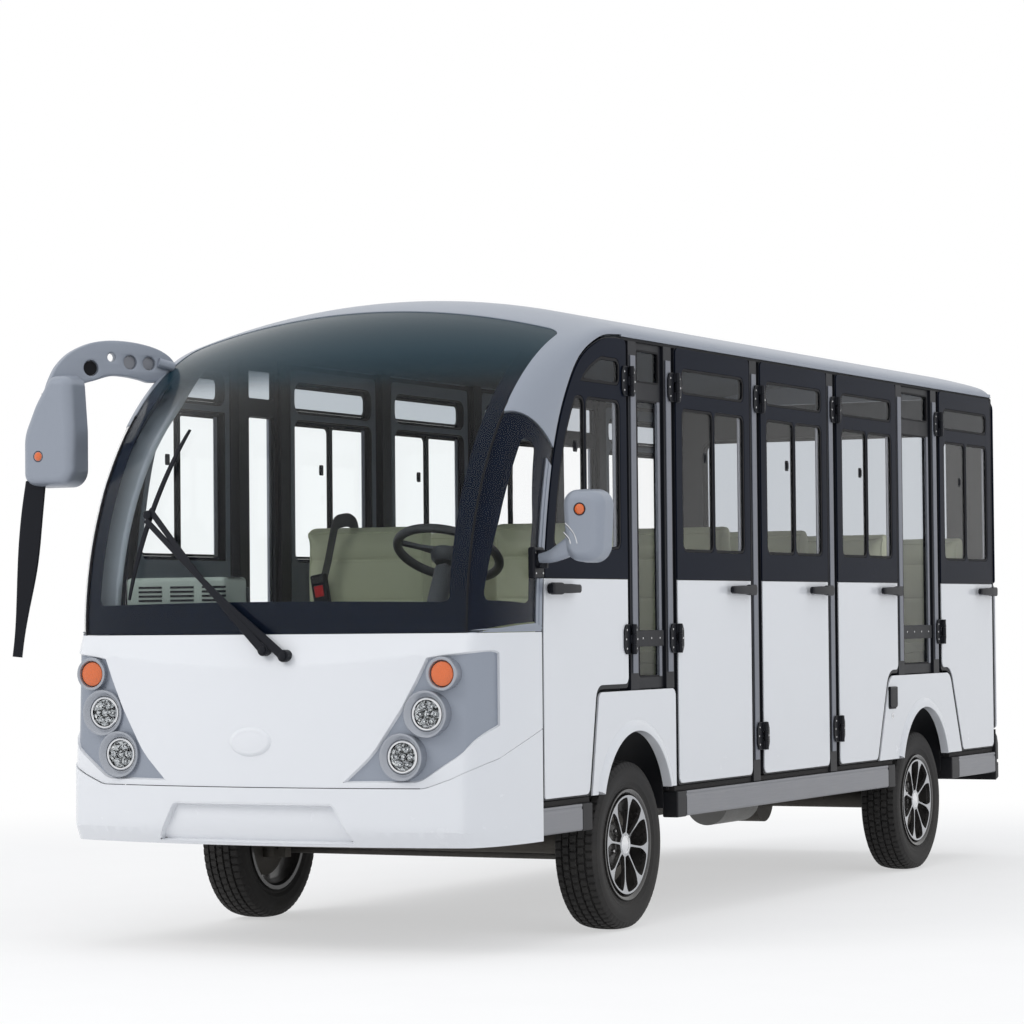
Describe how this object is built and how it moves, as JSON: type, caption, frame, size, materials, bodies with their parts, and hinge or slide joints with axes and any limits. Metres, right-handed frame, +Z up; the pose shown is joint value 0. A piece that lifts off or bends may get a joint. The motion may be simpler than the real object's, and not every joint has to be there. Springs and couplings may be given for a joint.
{
  "type": "electric sightseeing bus",
  "caption": "Closed electric shuttle bus for sightseeing, with a big domed windscreen, swing doors to every seat row, bench seats and small road wheels.",
  "frame": {"origin": "on the ground, midway between nose and rear bumper on the centre line", "axes": "+X the bus's left, -Y forwards, +Z up"},
  "size_m": [2.0009, 4.8514, 2.0449],
  "materials": {
    "white_paint": "gloss",
    "silver_paint": "metallic gloss",
    "black_steel": "satin black",
    "sill_aluminium": "brushed",
    "window_glass": "tinted",
    "windscreen_glass": "tinted",
    "lamp": "clear lens over a bright reflector",
    "tail_lamp": "red lens",
    "black_plastic": "satin",
    "dark_trim": "fine grain",
    "tyre": "treaded rubber",
    "rim": "machined and black painted",
    "cast": "rough",
    "motor": "cast",
    "upholstery": "stitched",
    "seat_steel": "satin",
    "floor": "ribbed"
  },
  "bodies": {
    "body": {"arch_panels": "white_paint", "battery_pack": "motor", "chassis_frame": "black_steel", "dashboard": "dark_trim", "drive_motor": "motor", "floor_pan": "floor", "front_axle": "cast", "front_bumper": "white_paint", "front_fascia": "white_paint", "front_lamps": "lamp", "lamp_panels": "silver_paint", "mirror_left": "silver_paint", "mirror_right": "silver_paint", "quarter_glass": "window_glass", "rear_axle": "cast", "rear_bumper": "black_plastic", "rear_panel": "white_paint", "rear_window": "window_glass", "roof": "silver_paint", "roof_front_cap": "silver_paint", "seat_backs": "upholstery", "seat_cushions": "upholstery", "seat_frames": "seat_steel", "side_glass": "window_glass", "side_pillars": "sill_aluminium", "sills": "sill_aluminium", "steering_column": "black_plastic", "tail_lamps": "tail_lamp", "wheel_boxes": "black_plastic", "windshield": "windscreen_glass", "wiper": "black_plastic"},
    "wheel_front_left": {"rim_front_left": "rim", "tyre_front_left": "tyre"},
    "wheel_front_right": {"rim_front_right": "rim", "tyre_front_right": "tyre"},
    "wheel_rear_left": {"rim_rear_left": "rim", "tyre_rear_left": "tyre"},
    "wheel_rear_right": {"rim_rear_right": "rim", "tyre_rear_right": "tyre"},
    "knuckle_left": {"knuckle_left": "cast"},
    "knuckle_right": {"knuckle_right": "cast"},
    "tie_rod": {"tie_rod": "cast"},
    "steering_wheel": {"steering_wheel": "black_plastic"},
    "charge_flap": {"charge_flap": "black_plastic"},
    "door_left_1": {"door_left_1": "white_paint"},
    "door_right_1": {"door_right_1": "white_paint"},
    "door_left_2": {"door_left_2": "white_paint"},
    "door_right_2": {"door_right_2": "white_paint"},
    "door_left_3": {"door_left_3": "white_paint"},
    "door_right_3": {"door_right_3": "white_paint"},
    "door_left_4": {"door_left_4": "white_paint"},
    "door_right_4": {"door_right_4": "white_paint"},
    "door_left_5": {"door_left_5": "white_paint"},
    "door_right_5": {"door_right_5": "white_paint"}
  },
  "joints": [
    {"name": "steer_left", "type": "hinge", "parent": "body", "child": "knuckle_left", "pos_m": [0.604, -1.259, 0.272], "axis": [0, 0, 1], "range_deg": [-28, 28]},
    {"name": "steer_right", "type": "hinge", "parent": "body", "child": "knuckle_right", "pos_m": [-0.604, -1.259, 0.272], "axis": [0, 0, 1], "range_deg": [-28, 28]},
    {"name": "tie_rod_slide", "type": "slide", "parent": "body", "child": "tie_rod", "axis": [1, 0, 0], "range_m": [-0.047, 0.047]},
    {"name": "steering_wheel_turn", "type": "hinge", "parent": "body", "child": "steering_wheel", "pos_m": [0.33, -1.745, 1.205], "axis": [0, 0.4695, 0.8829], "range_deg": [-450, 450]},
    {"name": "wheel_front_left_spin", "type": "hinge", "parent": "knuckle_left", "child": "wheel_front_left", "pos_m": [0.648, -1.259, 0.272], "axis": [1, 0, 0], "continuous": true},
    {"name": "wheel_front_right_spin", "type": "hinge", "parent": "knuckle_right", "child": "wheel_front_right", "pos_m": [-0.648, -1.259, 0.272], "axis": [1, 0, 0], "continuous": true},
    {"name": "wheel_rear_left_spin", "type": "hinge", "parent": "body", "child": "wheel_rear_left", "pos_m": [0.648, 1.491, 0.272], "axis": [1, 0, 0], "continuous": true},
    {"name": "wheel_rear_right_spin", "type": "hinge", "parent": "body", "child": "wheel_rear_right", "pos_m": [-0.648, 1.491, 0.272], "axis": [1, 0, 0], "continuous": true},
    {"name": "door_left_1_hinge", "type": "hinge", "parent": "body", "child": "door_left_1", "pos_m": [0.763, -1.296, 1.343], "axis": [0, 0, 1], "range_deg": [0, 80]},
    {"name": "door_right_1_hinge", "type": "hinge", "parent": "body", "child": "door_right_1", "pos_m": [-0.763, -1.296, 1.343], "axis": [0, 0, -1], "range_deg": [0, 80]},
    {"name": "door_left_2_hinge", "type": "hinge", "parent": "body", "child": "door_left_2", "pos_m": [0.763, -0.929, 1.343], "axis": [0, 0, -1], "range_deg": [0, 80]},
    {"name": "door_right_2_hinge", "type": "hinge", "parent": "body", "child": "door_right_2", "pos_m": [-0.763, -0.929, 1.343], "axis": [0, 0, 1], "range_deg": [0, 80]},
    {"name": "door_left_3_hinge", "type": "hinge", "parent": "body", "child": "door_left_3", "pos_m": [0.763, -0.188, 1.343], "axis": [0, 0, -1], "range_deg": [0, 80]},
    {"name": "door_right_3_hinge", "type": "hinge", "parent": "body", "child": "door_right_3", "pos_m": [-0.763, -0.188, 1.343], "axis": [0, 0, 1], "range_deg": [0, 80]},
    {"name": "door_left_4_hinge", "type": "hinge", "parent": "body", "child": "door_left_4", "pos_m": [0.763, 0.553, 1.343], "axis": [0, 0, -1], "range_deg": [0, 80]},
    {"name": "door_right_4_hinge", "type": "hinge", "parent": "body", "child": "door_right_4", "pos_m": [-0.763, 0.553, 1.343], "axis": [0, 0, 1], "range_deg": [0, 80]},
    {"name": "door_left_5_hinge", "type": "hinge", "parent": "body", "child": "door_left_5", "pos_m": [0.763, 1.699, 1.343], "axis": [0, 0, -1], "range_deg": [0, 80]},
    {"name": "door_right_5_hinge", "type": "hinge", "parent": "body", "child": "door_right_5", "pos_m": [-0.763, 1.699, 1.343], "axis": [0, 0, 1], "range_deg": [0, 80]},
    {"name": "charge_flap_hinge", "type": "hinge", "parent": "body", "child": "charge_flap", "pos_m": [0.7543, 1.131, 0.72], "axis": [0, -1, 0], "range_deg": [0, 100]}
  ],
  "couplings": [
    {"joint": "steer_right", "follows": "steer_left", "ratio": 1},
    {"joint": "steering_wheel_turn", "follows": "steer_left", "ratio": 16},
    {"joint": "tie_rod_slide", "follows": "steer_left", "m_per_rad": -0.088}
  ]
}
